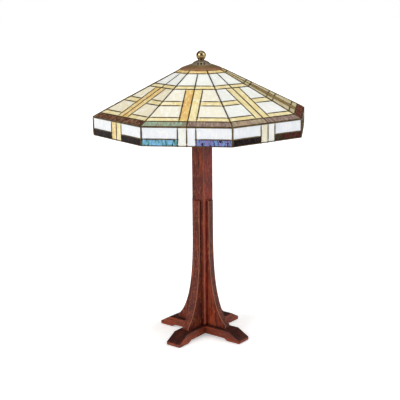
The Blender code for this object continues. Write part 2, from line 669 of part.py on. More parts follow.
def make_cap(bronze, shade_axis):
    under = cap_underside()
    over = [(radius, height + CAP_SHEET) for radius, height in under]
    over[3] = (DOME_RADIUS + CAP_SHEET / 2, over[3][1])
    cap = add_object("vented_cap", turned("vented_cap", [*under, *reversed(over)], FINE_ROUND), bronze, shade_axis)
    vent = rod("vent", VENT_RADIUS, -2 * CUT_PAST, 2 * CUT_PAST, sides=8)
    vent.transform(Matrix.Diagonal((VENT_STRETCH, 1, 1, 1)))
    vent.transform(Matrix.Rotation(math.radians(90 - VENT_LEAN_DEG), 4, "Y"))
    vent.transform(Matrix.Translation((VENT_AT, 0, CAP_RIM_Z + VENT_RISE)))
    for group in range(VENT_GROUPS):
        for index in range(VENTS_IN_GROUP):
            step = (index - (VENTS_IN_GROUP - 1) / 2) * VENT_STEP_DEG
            turn = group * 360 / VENT_GROUPS - 90 + VENT_TURN_DEG + step
            cutter = add_object(f"vent_{group + 1}_{index + 1}", vent.copy(), parent=shade_axis)
            cutter.rotation_euler.z = math.radians(turn)
            cut(cap, cutter)


def make_spindle(steel, brass):
    rod_mesh = rod("spindle", SPINDLE_RADIUS, SPINDLE_FOOT_Z, SPINDLE_TOP_Z, sides=16)
    add_object("spindle", rod_mesh, steel)
    bore = SPINDLE_RADIUS + GAP
    hex_nut("seat_nut", SEAT_NUT_RADIUS, bore, SEAT_NUT_Z, SEAT_NUT_Z + SEAT_NUT_HEIGHT, brass)
    washer = tube("seat_washer", SEAT_WASHER_RADIUS, bore, SEAT_WASHER_Z, SEAT_WASHER_TOP_Z)
    add_object("seat_washer", washer, brass)


def make_knob(brass):
    """The ball knob: a collar, a ball and a blind bore for the spindle."""
    centre = KNOB_Z + KNOB_COLLAR_HEIGHT + math.sqrt(KNOB_RADIUS ** 2 - KNOB_COLLAR_RADIUS ** 2)
    start = math.pi - math.asin(KNOB_COLLAR_RADIUS / KNOB_RADIUS)
    steps = 10
    ball = []
    for step in range(steps + 1):
        angle = start * (1 - step / steps)
        ball.append((KNOB_RADIUS * math.sin(angle), centre + KNOB_RADIUS * math.cos(angle)))
    bore = SPINDLE_RADIUS + GAP
    ball[-1] = (0, ball[-1][1])
    profile = [
        (bore, KNOB_Z), (KNOB_COLLAR_RADIUS, KNOB_Z), *ball,
        (0, KNOB_Z + KNOB_BORE_DEPTH), (bore, KNOB_Z + KNOB_BORE_DEPTH),
    ]
    add_object("ball_knob", turned("ball_knob", profile), brass)


def main():
    clear_scene()
    oak = make_material("stained_oak", (0.20, 0.045, 0.022), 0.4)
    brass = make_material("antique_brass", (0.42, 0.30, 0.13), 0.3, 1.0)
    bronze = make_material("bronzed_cap", (0.24, 0.16, 0.09), 0.4, 1.0)
    steel = make_material("zinc_steel", (0.55, 0.55, 0.56), 0.35, 1.0)
    tin = make_material("tinned_base", (0.62, 0.61, 0.58), 0.35, 1.0)
    lead = make_material("leading", (0.13, 0.10, 0.05), 0.45, 1.0)
    opal = make_material("opal_glass", (0.86, 0.83, 0.74), 0.2)
    frosted = make_material("frosted_bulb", (0.9, 0.9, 0.88), 0.3)
    black = make_material("black_phenolic", (0.03, 0.03, 0.03), 0.4)
    felt = make_material("felt", (0.05, 0.07, 0.05), 0.95)

    screw_holes = make_foot_hardware(steel, felt)
    make_foot_beams(oak, screw_holes)
    make_post(oak)
    make_corbels(oak, screw_holes)
    make_pipe(steel, brass, black)
    make_cluster(brass)
    make_sockets(brass, black, frosted, tin)
    shade_axis = add_empty("shade_axis", rotation=(0, 0, math.radians(SHADE_TURN_DEG)))
    make_shade(lead, opal, bronze, shade_axis)
    make_spindle(steel, brass)
    make_knob(brass)


main()
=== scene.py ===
"""Finished look of an octagonal leaded glass table lamp on a stained oak base.

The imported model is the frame. Each big pane of the shade becomes the separate pieces of opalescent glass
that are leaded together there, with their came lines and solder. The turned metal, the bulbs and the
pull chains are made again with smooth surfaces, and the oak keeps its shape and gets its grain.
"""

import math

import bmesh
import bpy
import numpy as np
from mathutils import Matrix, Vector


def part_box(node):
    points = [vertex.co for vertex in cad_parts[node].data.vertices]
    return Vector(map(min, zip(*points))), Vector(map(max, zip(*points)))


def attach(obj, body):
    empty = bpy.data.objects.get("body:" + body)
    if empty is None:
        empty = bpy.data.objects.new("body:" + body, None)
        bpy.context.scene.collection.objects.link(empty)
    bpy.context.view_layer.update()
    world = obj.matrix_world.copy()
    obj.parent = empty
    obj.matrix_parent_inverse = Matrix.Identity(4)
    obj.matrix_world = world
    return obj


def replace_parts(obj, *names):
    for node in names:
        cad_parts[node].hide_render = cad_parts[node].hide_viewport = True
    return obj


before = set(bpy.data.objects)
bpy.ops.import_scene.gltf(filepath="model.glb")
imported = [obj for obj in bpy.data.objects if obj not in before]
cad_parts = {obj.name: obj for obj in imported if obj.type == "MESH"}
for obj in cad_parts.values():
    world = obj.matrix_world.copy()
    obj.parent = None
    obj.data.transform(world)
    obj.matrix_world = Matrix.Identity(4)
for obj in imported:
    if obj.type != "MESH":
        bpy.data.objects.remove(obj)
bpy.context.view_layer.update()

MM = 0.001
rng = np.random.default_rng(8)

# Shade
SIDES = 8
HALF_SIDE = math.pi / SIDES
SHADE_TURN = math.radians(29.4)
RIM_RADIUS = 235.0 * MM
RIM_Z = 463.2 * MM
SHOULDER_Z = 503.5 * MM
CONE_TOP_RADIUS = 43.3 * MM
CONE_HEIGHT = 93.7 * MM
RIM_APOTHEM = RIM_RADIUS * math.cos(HALF_SIDE)
CONE_PITCH = math.atan2(CONE_HEIGHT, (RIM_RADIUS - CONE_TOP_RADIUS) * math.cos(HALF_SIDE))

# Leading pattern. Rows are given by the corner radius of the octagon that they follow round the shade.
BAND_TOP = 218.5 * MM
LOW_AMBER_TOP = 206.0 * MM
LOW_CREAM_TOP = 168.0 * MM
MIDDLE_AMBER_TOP = 154.0 * MM
STRIP_TOP = 113.0 * MM
HIGH_AMBER_TOP = 101.5 * MM
HIGH_CREAM_TOP = 58.5 * MM
STRIP_WIDTH = 17.3 * MM
SKIRT_STRIP_WIDTH = 18.0 * MM
SKIRT_ROW_Z = 477.9 * MM

# Glass and metal of the shade
GLASS_DEPTH = 1.2 * MM  # from the face of the frame to the glass
GLASS_THICKNESS = 3.0 * MM
CAME_WIDTH = 2.5 * MM
CAME_RISE = 1.15 * MM
HEART = 0.9 * MM  # metal between two pieces of glass
EDGE_HEART = 0.7 * MM  # metal between a piece of glass and a corner or an edge of the shade
CORNER_INSET = 1.2 * MM  # from a corner of the shade to the solder joints there
EDGE_INSET = 1.8 * MM  # from the shoulder or the rim to the solder joints there

# Post
POST_ARRIS = 31.5 * MM  # distance along X plus distance along Y, at a bevelled corner

# Camera
CAMERA_PLACE = (1.1822, -1.5553, 0.7666)
CAMERA_TURN_DEG = 37.4
CAMERA_PITCH_DEG = 13.214
CAMERA_ROLL_DEG = 0.595
LENS = 82.16
SENSOR = 36.0


# Materials


def linear(code):
    """Linear RGBA from an sRGB hex colour such as "#8a5a3c"."""
    values = [int(code[i:i + 2], 16) / 255 for i in (1, 3, 5)]
    return tuple(v / 12.92 if v <= 0.04045 else ((v + 0.055) / 1.055) ** 2.4 for v in values) + (1.0,)


def scale_for(size_mm):
    """The noise scale whose main blobs are about size_mm across, for positions in metres."""
    return 1000.0 / size_mm


def add(tree, kind, settings=None, out=0):
    """Adds a node and gives one of its outputs. A setting is a property, or a socket by name or number, and
    its value may be a number, a hex colour or another node's output, which is linked. The setting "stops"
    is a colour ramp's list of places from 0 to 1 with their hex colours."""
    node = tree.nodes.new("ShaderNode" + kind)
    for name, value in (settings or {}).items():
        if name == "stops":
            elements = node.color_ramp.elements
            while len(elements) < len(value):
                elements.new(0.5)
            for element, (place, code) in zip(elements, value):
                element.position = place
                element.color = linear(code)
        elif isinstance(name, str) and name not in node.inputs:
            setattr(node, name, value)
        elif isinstance(value, bpy.types.NodeSocket):
            tree.links.new(value, node.inputs[name])
        else:
            node.inputs[name].default_value = linear(value) if isinstance(value, str) else value
    return node.outputs[out] if len(node.outputs) else None


def new_material(name):
    """A material with an empty node tree."""
    material = bpy.data.materials.new(name)
    material.use_nodes = True
    material.node_tree.nodes.clear()
    return material, material.node_tree


def oak(name, grain, shift, shape):
    """Quarter-sawn oak, stained red mahogany and satin varnished. The eye sees long dark pores, paler ray
    flecks across them and slow changes of tone along the board. Light and shade are also painted in: the
    post's faces that look along X are painted redder, as lit, and its arrises lighter, as painted highlight
    and rubbing; a corbel's faces that look along X are painted darker, as shaded, with a painted sheen on
    the bevels along its edges; a foot's faces that do not look up are painted a little lighter, as lit, and
    those that look up much darker, as painted shade."""
    material, tree = new_material(name)
    where = add(tree, "TexCoord", out="Object")
    patterns = []
    for stretch, size_mm, detail, rough, distort in (
        (0.12, 12, 3, 0.6, 0.6),  # tone along the board
        (0.4, 2.8, 2, 0.6, 0.8),  # ray flecks
        (0.05, 1.5, 2, 0.7, 0.0),  # pores
        (1.0, 38, 2, 0.5, 0.0),  # clouds of stain
    ):
        stretches = tuple(stretch if axis == grain else 1.0 for axis in range(3))
        board = add(tree, "Mapping", {"Vector": where, "Scale": stretches, "Location": shift})
        patterns.append(add(tree, "TexNoise", {
            "Vector": board, "Scale": scale_for(size_mm), "Detail": detail, "Roughness": rough,
            "Distortion": distort,
        }))
    tone, rays, fibres, clouds = patterns
    normal = add(tree, "TexCoord", out="Normal")
    facing = add(tree, "SeparateXYZ", {"Vector": normal}).node.outputs
    place = add(tree, "SeparateXYZ", {"Vector": where}).node.outputs
    size_x, size_y, from_x, from_y = (
        add(tree, "Math", {"operation": "ABSOLUTE", 0: value})
        for value in (facing[0], facing[1], place[0], place[1])
    )

    if shape == "post":
        corner = add(tree, "Math", {"operation": "ADD", 0: from_x, 1: from_y})
        # Painted light: the post's faces that look along X are painted redder, as lit.
        painted_face_shading = [(size_x, 0.5, 0.9, 0.85, "#98200e")]
        # Painted highlight and rubbing: a lighter band along the post's four arrises.
        painted_light_and_wear = [(corner, POST_ARRIS - 1 * MM, POST_ARRIS, 0.4, "#a0604a")]
    elif shape == "foot":
        painted_face_shading = []
        # Painted light and shade: faces that do not look up are painted a little lighter, as lit; faces that
        # look up are painted much darker, as shaded.
        painted_light_and_wear = [(facing[2], 0.3, 0.0, 0.15, "#a8502a"), (facing[2], 0.3, 0.6, 0.74, "#1d0908")]
    else:
        # Mask of the bevel faces along the corbel's edges, where a painted sheen goes.
        edge = size_y if shape == "corbel_x" else size_x
        leaning = add(tree, "MapRange", {"Value": edge, "From Min": 0.3, "From Max": 0.5})
        not_flat = add(tree, "MapRange", {
            "Value": edge, "From Min": 0.86, "From Max": 0.96, "To Min": 1.0, "To Max": 0.0,
        })
        painted_sheen_bevels = add(tree, "Math", {"operation": "MULTIPLY", 0: leaning, 1: not_flat})
        # Painted shade: the corbel's faces that look along X are painted darker.
        painted_face_shading = [(size_x, 0.5, 0.9, 0.5, "#30100c")]
        # Painted sheen: a lighter tint on the bevels along the corbel's edges.
        painted_light_and_wear = [(painted_sheen_bevels, 0.0, 1.0, 0.6, "#b07a5c")]
    colour = add(tree, "ValToRGB", {
        "Fac": tone, "stops": [(0.3, "#40100a"), (0.5, "#742616"), (0.66, "#a0421e")],
    })
    for value, low, high, most, tint in (
        *painted_face_shading, (rays, 0.54, 0.62, 0.7, "#a4603c"), (fibres, 0.5, 0.6, 0.8, "#240a08"),
        (clouds, 0.4, 0.65, 0.5, "#45120e"), *painted_light_and_wear,
    ):
        share = add(tree, "MapRange", {"Value": value, "From Min": low, "From Max": high, "To Max": most})
        colour = add(tree, "Mix", {"data_type": "RGBA", 0: share, 6: colour, 7: tint}, out=2)
    pores = add(tree, "MapRange", {"Value": fibres, "From Min": 0.5, "From Max": 0.6})
    gloss = add(tree, "MapRange", {"Value": pores, "To Min": 0.34, "To Max": 0.6})
    relief = add(tree, "Bump", {"Height": pores, "Strength": 0.5, "Distance": 0.4 * MM, "invert": True})
    varnish = add(tree, "BsdfPrincipled", {
        "Base Color": colour, "Roughness": gloss, "IOR": 1.5, "Specular IOR Level": 0.3, "Normal": relief,
    })
    add(tree, "OutputMaterial", {"Surface": varnish})
    return material


def sheet_glass(name, gloss, shine, ripple_mm, wisp_mm, streak):
    """Rolled opalescent sheet. Each piece carries its own three tints and its own place on the sheet, so
    the wisps break at every came. The eye sees milky depth, drifting streaks and a softly rippled gloss."""
    material, tree = new_material(name)
    place = add(tree, "Attribute", {"attribute_name": "sheet_place"}, out="Vector")
    ground, wisp_tint, thread_tint = (
        add(tree, "Attribute", {"attribute_name": "tint_" + key}, out="Color") for key in "abc"
    )
    pulled = add(tree, "Mapping", {"Vector": place, "Scale": (1.0, streak, 1.0)})
    wisps = add(tree, "TexNoise", {
        "Vector": pulled, "Scale": scale_for(wisp_mm), "Detail": 4.0, "Roughness": 0.55, "Distortion": 1.6,
    })
    threads = add(tree, "TexNoise", {
        "Vector": pulled, "Scale": scale_for(0.4 * wisp_mm), "Detail": 3.0, "Roughness": 0.6,
        "Distortion": 0.8,
    })
    wisp_share = add(tree, "MapRange", {"Value": wisps, "From Min": 0.4, "From Max": 0.6})
    thread_share = add(tree, "MapRange", {"Value": threads, "From Min": 0.52, "From Max": 0.6})
    wispy = add(tree, "Mix", {"data_type": "RGBA", 0: wisp_share, 6: ground, 7: wisp_tint}, out=2)
    colour = add(tree, "Mix", {"data_type": "RGBA", 0: thread_share, 6: wispy, 7: thread_tint}, out=2)
    ripples = add(tree, "TexNoise", {
        "Vector": place, "Scale": scale_for(ripple_mm), "Detail": 2.0, "Roughness": 0.5, "Distortion": 0.5,
    })
    relief = add(tree, "Bump", {"Height": ripples, "Strength": 0.25, "Distance": 0.6 * MM})
    glass = add(tree, "BsdfPrincipled", {
        "Base Color": colour, "Roughness": gloss, "IOR": 1.52, "Specular IOR Level": shine,
        "Subsurface Weight": 0.35, "Subsurface Radius": (1.0, 0.9, 0.7), "Subsurface Scale": 4 * MM,
        "Normal": relief,
    })
    add(tree, "OutputMaterial", {"Surface": glass})
    return material


def patinated_lead():
    """Lead came and tin solder under a brown copper patina. The eye sees dull olive-brown metal, darker in
    blotches, and glossier where it was wiped."""
    material, tree = new_material("copper_patinated_lead")
    where = add(tree, "TexCoord", out="Object")
    stain, wiped, lumps = (
        add(tree, "TexNoise", {
            "Vector": where, "Scale": scale_for(size_mm), "Detail": detail, "Roughness": rough,
        })
        for size_mm, detail, rough in ((9, 3, 0.6), (4, 3, 0.5), (2.5, 2, 0.5))
    )
    colour = add(tree, "ValToRGB", {
        "Fac": stain, "stops": [(0.3, "#3a2c12"), (0.52, "#574420"), (0.72, "#78623a")],
    })
    gloss = add(tree, "MapRange", {
        "Value": wiped, "From Min": 0.3, "From Max": 0.7, "To Min": 0.34, "To Max": 0.58,
    })
    relief = add(tree, "Bump", {"Height": lumps, "Strength": 0.4, "Distance": 0.4 * MM})
    metal = add(tree, "BsdfPrincipled", {
        "Base Color": colour, "Metallic": 0.5, "Roughness": gloss, "Normal": relief,
    })
    add(tree, "OutputMaterial", {"Surface": metal})
    return material


def bronzed_cap():
    """Spun brass cap with a rubbed bronze patina: coppery at the rim, brown on the slope and greyer
    towards the dome, with lighter bands of painted highlight at the rolled lip and on the dome's wall and
    faint rings from the spinning tool. Its faces that look down, inside, are painted near black as painted
    shade."""
    material, tree = new_material("spun_brass_bronze_patina")
    where = add(tree, "TexCoord", out="Object")
    blotches, dark_spots, wiped = (
        add(tree, "TexNoise", {
            "Vector": where, "Scale": scale_for(size_mm), "Detail": 3.0, "Roughness": rough,
        })
        for size_mm, rough in ((11, 0.6), (5, 0.65), (6, 0.5))
    )
    wander = add(tree, "MapRange", {
        "Value": blotches, "From Min": 0.2, "From Max": 0.8, "To Min": -1.6 * MM, "To Max": 1.6 * MM,
    })
    up = add(tree, "SeparateXYZ", {"Vector": where}, out=2)
    height = add(tree, "Math", {"operation": "ADD", 0: up, 1: wander})
    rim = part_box("vented_cap")[0].z
    level = add(tree, "MapRange", {"Value": height, "From Min": rim, "From Max": rim + 17.6 * MM})
    # Painted highlight: the lighter stops at 0.1 and 0.56 paint bright bands at the rolled lip and on the
    # dome's wall.
    colour = add(tree, "ValToRGB", {"Fac": level, "stops": [
        (0.0, "#a8683a"), (0.1, "#c09070"), (0.22, "#a88058"),
        (0.48, "#9a7e58"), (0.56, "#b0a484"), (0.8, "#8c7e6c"),
    ]})
    normal = add(tree, "TexCoord", out="Normal")
    facing_up = add(tree, "SeparateXYZ", {"Vector": normal}, out=2)
    # Painted shade: faces that look down, inside the cap, are painted near black; the dark spots are patina.
    for value, low, high, most, tint in (
        (dark_spots, 0.55, 0.75, 0.45, "#4a3626"), (facing_up, -0.05, -0.2, 1.0, "#120c08"),
    ):
        share = add(tree, "MapRange", {"Value": value, "From Min": low, "From Max": high, "To Max": most})
        colour = add(tree, "Mix", {"data_type": "RGBA", 0: share, 6: colour, 7: tint}, out=2)
    gloss = add(tree, "MapRange", {
        "Value": wiped, "From Min": 0.3, "From Max": 0.7, "To Min": 0.3, "To Max": 0.48,
    })
    spun = add(tree, "Mapping", {"Vector": where, "Scale": (0.02, 0.02, 1.0)})
    rings = add(tree, "TexNoise", {"Vector": spun, "Scale": scale_for(0.7), "Detail": 2.0, "Roughness": 0.5})
    relief = add(tree, "Bump", {"Height": rings, "Strength": 0.12, "Distance": 0.2 * MM})
    metal = add(tree, "BsdfPrincipled", {
        "Base Color": colour, "Metallic": 0.6, "Roughness": gloss, "Normal": relief,
    })
    add(tree, "OutputMaterial", {"Surface": metal})
    return material


def antique_brass(name, bright, dull, gloss):
    """Polished brass with an antique lacquer: warm gold where it is rubbed, brown in blotches."""
    material, tree = new_material(name)
    where = add(tree, "TexCoord", out="Object")
    blotches = add(tree, "TexNoise", {
        "Vector": where, "Scale": scale_for(6), "Detail": 3.0, "Roughness": 0.6,
    })
    stain = add(tree, "MapRange", {"Value": blotches, "From Min": 0.35, "From Max": 0.7})
    colour = add(tree, "Mix", {"data_type": "RGBA", 0: stain, 6: bright, 7: dull}, out=2)
    roughness = add(tree, "MapRange", {"Value": stain, "To Min": gloss, "To Max": gloss + 0.14})
    pits = add(tree, "TexNoise", {"Vector": where, "Scale": scale_for(1.2), "Detail": 2.0, "Roughness": 0.5})
    relief = add(tree, "Bump", {"Height": pits, "Strength": 0.1, "Distance": 0.2 * MM})
    metal = add(tree, "BsdfPrincipled", {
        "Base Color": colour, "Metallic": 1.0, "Roughness": roughness, "Normal": relief,
    })
    add(tree, "OutputMaterial", {"Surface": metal})
    return material


def plated(name, first, second, roughness):
    """Zinc plate or bare aluminium: pale grey with a fine crystalline mottling and drawn scratches."""
    material, tree = new_material(name)
    where = add(tree, "TexCoord", out="Object")
    mottle = add(tree, "TexNoise", {
        "Vector": where, "Scale": scale_for(2.4), "Detail": 3.0, "Roughness": 0.7,
    })
    colour = add(tree, "ValToRGB", {"Fac": mottle, "stops": [(0.35, first), (0.65, second)]})
    drawn = add(tree, "Mapping", {"Vector": where, "Scale": (1.0, 1.0, 12.0)})
    scratch = add(tree, "TexNoise", {"Vector": drawn, "Scale": scale_for(2), "Detail": 2.0, "Roughness": 0.5})
    relief = add(tree, "Bump", {"Height": scratch, "Strength": 0.1, "Distance": 0.2 * MM})
    metal = add(tree, "BsdfPrincipled", {
        "Base Color": colour, "Metallic": 1.0, "Roughness": roughness, "Normal": relief,
    })
    add(tree, "OutputMaterial", {"Surface": metal})
    return material


def plain_finish(name, size_mm, detail, rough, dark, pale, strength, depth, settings):
    """A finish whose colour and relief both follow one noise: phenolic, felt or frosted glass."""
    material, tree = new_material(name)
    where = add(tree, "TexCoord", out="Object")
    mottle = add(tree, "TexNoise", {
        "Vector": where, "Scale": scale_for(size_mm), "Detail": detail, "Roughness": rough,
    })
    colour = add(tree, "ValToRGB", {"Fac": mottle, "stops": [(0.3, dark), (0.7, pale)]})
    relief = add(tree, "Bump", {"Height": mottle, "Strength": strength, "Distance": depth})
    surface = add(tree, "BsdfPrincipled", {"Base Color": colour, "Normal": relief, **settings})
    add(tree, "OutputMaterial", {"Surface": surface})
    return material


def phenolic():
    """Black moulded phenolic: nearly black brown with a dull moulded skin."""
    return plain_finish("moulded_black_phenolic", 3, 3.0, 0.5, "#15110f", "#2a221e", 0.15, 0.2 * MM,
                        {"Roughness": 0.38})


def pressed_felt():
    """Pressed wool felt: dull dark green with a fibrous nap, drawn at 0.8 mm so that it shows."""
    return plain_finish("pressed_wool_felt", 0.8, 4.0, 0.7, "#1d2a1f", "#3b4a38", 0.6, 0.4 * MM,
                        {"Roughness": 0.95, "Sheen Weight": 0.3})


def frosted_envelope():
    """Acid-frosted bulb glass: white, soft and slightly warm, with a faint mottled frost."""
    return plain_finish(
        "frosted_bulb_glass", 1.5, 3.0, 0.5, "#e9e7e0", "#f6f4ee", 0.05, 0.2 * MM,
        {"Roughness": 0.28, "IOR": 1.5, "Subsurface Weight": 0.3, "Subsurface Scale": 4 * MM},
    )


# Making pieces


def grid_faces(rows, columns, closed_rows=False, closed_columns=False, start=0):
    """Four-sided faces of a grid of points numbered row by row, joined round its ends where it is closed."""
    down = np.arange(rows if closed_rows else rows - 1)[:, None]
    over = np.arange(columns if closed_columns else columns - 1)[None, :]
    next_down = (down + 1) % rows
    next_over = (over + 1) % columns
    corners = (
        down * columns + over, down * columns + next_over,
        next_down * columns + next_over, next_down * columns + over,
    )
    return np.stack(corners, axis=-1).reshape(-1, 4) + start


class Batch:
    """Collects grids of points and their faces, so that many small surfaces become one piece."""

    def __init__(self):
        self.points = []
        self.faces = []
        self.slots = []
        self.values = {}
        self.count = 0

    def put(self, points, faces, slot=0, **values):
        """Adds a surface. Each value is one row for all its points, or one row for each."""
        flat = points.reshape(-1, 3)
        self.points.append(flat)
        self.faces.append(faces + self.count)
        self.slots.append(np.full(len(faces), slot))
        for name, value in values.items():
            rows = np.broadcast_to(value, (len(flat), np.shape(value)[-1]))
            self.values.setdefault(name, []).append(rows)
        self.count += len(flat)

    def piece(self, name, body, materials, slot, smooth_deg=40, merge=True):
        """Makes one piece of all the surfaces, with their values as attributes of its points."""
        points = np.concatenate(self.points)
        faces = np.concatenate(self.faces)
        mesh = bpy.data.meshes.new(name)
        mesh.from_pydata(points, [], faces.tolist())
        for material in materials:
            mesh.materials.append(material)
        mesh.polygons.foreach_set("material_index", np.concatenate(self.slots).astype(np.int32))
        for key, values in self.values.items():
            whole = np.concatenate(values)
            kind = "FLOAT_COLOR" if whole.shape[1] == 4 else "FLOAT_VECTOR"
            attribute = mesh.attributes.new(key, kind, "POINT")
            attribute.data.foreach_set(
                "color" if kind == "FLOAT_COLOR" else "vector", whole.astype(np.float32).ravel()
            )
        tidy_mesh(mesh, merge)
        return ride_piece(name, mesh, body, smooth_deg)


def tidy_mesh(mesh, merge=True):
    """Closes seams and poles and turns the faces outwards."""
    shape = bmesh.new()
    shape.from_mesh(mesh)
    if merge:
        bmesh.ops.remove_doubles(shape, verts=shape.verts, dist=0.002 * MM)
    bmesh.ops.recalc_face_normals(shape, faces=shape.faces)
    shape.to_mesh(mesh)
    shape.free()


def ride_piece(name, mesh, body, smooth_deg):
    """Puts a mesh in the scene as a piece of a body, with edges sharper than smooth_deg left crisp."""
    mesh.shade_smooth()
    mesh.set_sharp_from_angle(angle=math.radians(smooth_deg))
    obj = bpy.data.objects.new(name, mesh)
    bpy.context.scene.collection.objects.link(obj)
    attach(obj, body)
    return obj


def finished_copy(node, body, material, smooth_deg=32):
    """A CAD node's own shape with its triangles joined, so that its round faces shade smoothly."""
    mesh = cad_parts[node].data.copy()
    if "custom_normal" in mesh.attributes:
        mesh.attributes.remove(mesh.attributes["custom_normal"])
    tidy_mesh(mesh)
    mesh.materials.clear()
    mesh.materials.append(material)
    obj = ride_piece(node + "_finished", mesh, body, smooth_deg)
    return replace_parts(obj, node)


def rod_along(path, outward, half_width, rise, round_points=8, closed=False):
    """A bar carried along a path: at each point an ellipse, half_width across the path and rise
    along the outward direction. The ends of an open bar draw in to a point, so it is closed."""
    path = np.asarray(path, float)
    outward = np.broadcast_to(np.asarray(outward, float), path.shape)
    if closed:
        tangent = np.roll(path, -1, axis=0) - np.roll(path, 1, axis=0)
    else:
        tangent = np.gradient(path, axis=0)
    tangent = tangent / np.linalg.norm(tangent, axis=1, keepdims=True)
    across = np.cross(outward, tangent)
    across = across / np.linalg.norm(across, axis=1, keepdims=True)
    angle = np.arange(round_points) * 2 * math.pi / round_points
    width = np.broadcast_to(half_width, len(path)).copy()
    height = np.broadcast_to(rise, len(path)).copy()
    if not closed:
        width[[0, -1]] = 0
        height[[0, -1]] = 0
    points = (
        path[:, None, :]
        + across[:, None, :] * (width[:, None] * np.cos(angle))[:, :, None]
        + outward[:, None, :] * (height[:, None] * np.sin(angle))[:, :, None]
    )
    return points, grid_faces(len(path), round_points, closed_rows=closed, closed_columns=True)


def hand_laid(count, size, spread=0.1):
    """A width for each point of a bar. It wanders by up to spread of its size, as hand solder does: the
    sum of three sine waves of the point's number, each with its own random phase."""
    steps = np.arange(count)
    waves = sum(np.sin(steps * k + rng.uniform(0, 2 * math.pi)) for k in (0.35, 0.8, 1.7))
    return size * (1 + spread * waves / 3)


def turned_surface(profile, sides=48):
    """A closed profile of radius and height, carried round the Z axis."""
    profile = np.asarray(profile, float)
    angle = np.arange(sides) * 2 * math.pi / sides
    radius, height = profile[:, 0], profile[:, 1]
    around = (radius[:, None] * np.cos(angle), radius[:, None] * np.sin(angle))
    points = np.stack((*around, np.repeat(height[:, None], sides, 1)), axis=-1)
    return points, grid_faces(len(profile), sides, closed_rows=True, closed_columns=True)


def arc(centre, radius, start_deg, end_deg, steps):
    """Points of radius and height on a circular arc. The angle is from the axis, downwards."""
    angle = np.radians(np.linspace(start_deg, end_deg, steps))
    return np.stack((centre[0] + radius * np.sin(angle), centre[1] + radius * np.cos(angle)), axis=1)


# Shade


def side_axes(side):
    """The level directions out of a side and along it, to the right as seen from outside."""
    turn = SHADE_TURN + side * 2 * HALF_SIDE
    outward = np.array([math.sin(turn), -math.cos(turn), 0.0])
    sideways = np.array([math.cos(turn), math.sin(turn), 0.0])
    return outward, sideways


def on_side(side, part, across, along, depth):
    """Points on one side of the shade: across from its middle line, along from the shoulder up the cone
    or down the skirt, and depth inwards from its outer face. The distance from the axis falls with the
    cosine of the cone's pitch up its slope, and the height rises with the sine."""
    outward, sideways = side_axes(side)
    across, along, depth = np.broadcast_arrays(across, along, depth)
    if part == "cone":
        apothem = RIM_APOTHEM - along * math.cos(CONE_PITCH) - depth * math.sin(CONE_PITCH)
        height = SHOULDER_Z + along * math.sin(CONE_PITCH) - depth * math.cos(CONE_PITCH)
    else:
        apothem = RIM_APOTHEM - depth
        height = SHOULDER_Z - along
    return (
        apothem[..., None] * outward + across[..., None] * sideways
        + height[..., None] * np.array([0.0, 0.0, 1.0])
    )


def side_normal(side, part):
    """The direction straight out of one side of the cone or the skirt."""
    outward = side_axes(side)[0]
    if part == "skirt":
        return outward
    return outward * math.sin(CONE_PITCH) + np.array([0.0, 0.0, math.cos(CONE_PITCH)])


def row_along(corner_radius):
    """How far up the cone's side a row lies, from its corner radius."""
    return (RIM_RADIUS - corner_radius) * math.cos(HALF_SIDE) / math.cos(CONE_PITCH)


def line_across(part, line, along, depth=0.0):
    """Where an upright line of the pattern crosses a height: 0 is the middle line, 1 the outer edge of
    its strip and 2 the corner of the octagon, with minus signs on the left. A corner lies at the distance
    from the axis times the tangent of half a side's angle."""
    strip = STRIP_WIDTH if part == "cone" else SKIRT_STRIP_WIDTH
    if part == "cone":
        apothem = RIM_APOTHEM - along * math.cos(CONE_PITCH) - depth * math.sin(CONE_PITCH)
    else:
        apothem = RIM_APOTHEM - depth + 0 * along
    half = apothem * math.tan(HALF_SIDE)
    return np.sign(line) * {0: 0 * along, 1: strip + 0 * along, 2: half}[abs(line)]


# Three tints of each sheet: its ground, its wisps and its threads
CREAM = ("#f0ecdc", "#ebe6d0", "#f4f2e8")
WARM_CREAM = ("#f2ead2", "#ece2c2", "#f6f2e4")
HONEY_CREAM = ("#f4e6bc", "#ecd8a0", "#f8efd4")
COOL_CREAM = ("#f2f3ec", "#eceee6", "#f6f7f4")
SKIRT_WHITE = ("#eef0f3", "#e9edf2", "#f3f5f7")
PALE_AMBER = ("#efe2b0", "#e8d498", "#f4ebc6")
AMBER = ("#ecd294", "#e0bc76", "#f3e3b2")
DEEP_AMBER = ("#e6c67c", "#dcae68", "#eed79c")
IVORY = ("#efead8", "#e8e0c2", "#f6f4ea")
MAROON = ("#6e4a36", "#4a261e", "#93745c")
MAUVE = ("#948074", "#7c625c", "#a49484")
OLIVE_MAUVE = ("#b09a80", "#92766c", "#aeae8a")
SAGE = ("#9aac92", "#8c8672", "#98baa4")
RUSSET = ("#7c3420", "#561c12", "#985434")
EBONY = ("#0e0808", "#1c0c0c", "#30201c")
OXBLOOD = ("#2e1412", "#561c18", "#2c3c22")
SKY = ("#84bce2", "#5c9a9c", "#142a26")
LAGOON = ("#6fa49c", "#8ab4d2", "#1c3a26")
HEATHER = ("#8878b0", "#6a9cd0", "#2c2a48")

